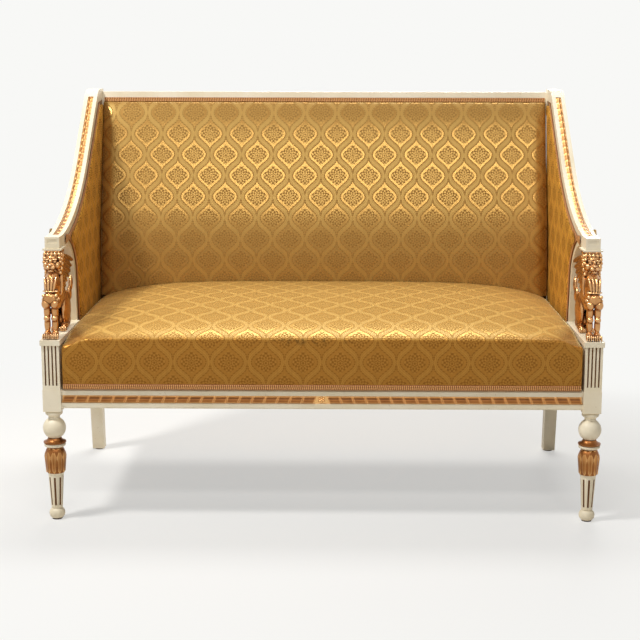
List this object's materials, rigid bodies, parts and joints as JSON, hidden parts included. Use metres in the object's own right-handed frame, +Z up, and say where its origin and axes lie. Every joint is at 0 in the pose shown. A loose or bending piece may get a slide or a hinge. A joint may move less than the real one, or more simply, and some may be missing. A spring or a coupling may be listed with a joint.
{
  "type": "empire sofa",
  "caption": "Empire style sofa with a painted and gilt frame, winged lion arm supports, sweeping arms, padded damask back and a loose sprung seat.",
  "frame": {"origin": "on the floor under the middle of the sofa", "axes": "+X to the right as seen from the front, +Y from the front to the back, +Z up"},
  "size_m": [1.271, 0.742, 0.963],
  "materials": {
    "painted_wood": "aged cream paint",
    "gilt_wood": "worn copper-gold gilding on carved wood",
    "damask": "gold silk damask",
    "gimp_braid": "woven braid",
    "jute": "plain woven jute",
    "steel": "plain steel wire",
    "foot_pad": "dark pad",
    "dust_cloth": "black cotton",
    "bare_beech": "bare sawn beech"
  },
  "bodies": {
    "frame": {"front_leg_left": "painted_wood", "front_leg_right": "painted_wood", "rear_post_left": "painted_wood", "rear_post_right": "painted_wood", "front_seat_rail": "painted_wood", "rear_seat_rail": "bare_beech", "side_seat_rail_left": "painted_wood", "side_seat_rail_right": "painted_wood", "seat_cross_brace": "bare_beech", "seat_ledgers": "bare_beech", "corner_blocks": "bare_beech", "corner_screws": "steel", "crest_rail": "painted_wood", "lower_back_rail": "bare_beech", "back_centre_upright": "bare_beech", "arm_rail_left": "painted_wood", "arm_rail_right": "painted_wood", "arm_upright_left": "painted_wood", "arm_upright_right": "painted_wood", "arm_abacus_left": "painted_wood", "arm_abacus_right": "painted_wood", "arm_plinth_left": "painted_wood", "arm_plinth_right": "painted_wood", "arm_lower_rail_left": "bare_beech", "arm_lower_rail_right": "bare_beech", "lion_plate_left": "painted_wood", "lion_plate_right": "painted_wood", "winged_lion_left": "gilt_wood", "winged_lion_right": "gilt_wood", "lion_dowels": "bare_beech", "front_rail_moulding": "gilt_wood", "arm_moulding_left": "gilt_wood", "arm_moulding_right": "gilt_wood", "back_webbing": "jute", "back_hessian": "jute", "back_pad": "damask", "back_gimp": "gimp_braid", "outside_back_cover": "damask", "arm_hessian_left": "jute", "arm_hessian_right": "jute", "arm_pad_left": "damask", "arm_pad_right": "damask", "arm_gimp_left": "gimp_braid", "arm_gimp_right": "gimp_braid", "outside_arm_cover_left": "damask", "outside_arm_cover_right": "damask", "foot_glides": "foot_pad"},
    "seat": {"seat_frame_front": "bare_beech", "seat_frame_rear": "bare_beech", "seat_frame_left": "bare_beech", "seat_frame_right": "bare_beech", "seat_frame_brace": "bare_beech", "seat_webbing": "jute", "seat_springs": "steel", "seat_hessian": "jute", "seat_pad": "damask", "seat_dust_cover": "dust_cloth", "seat_gimp": "gimp_braid"}
  },
  "joints": [
    {"name": "seat_lift", "type": "slide", "parent": "frame", "child": "seat", "axis": [0, 0, 1], "range_m": [0, 0.7]}
  ]
}
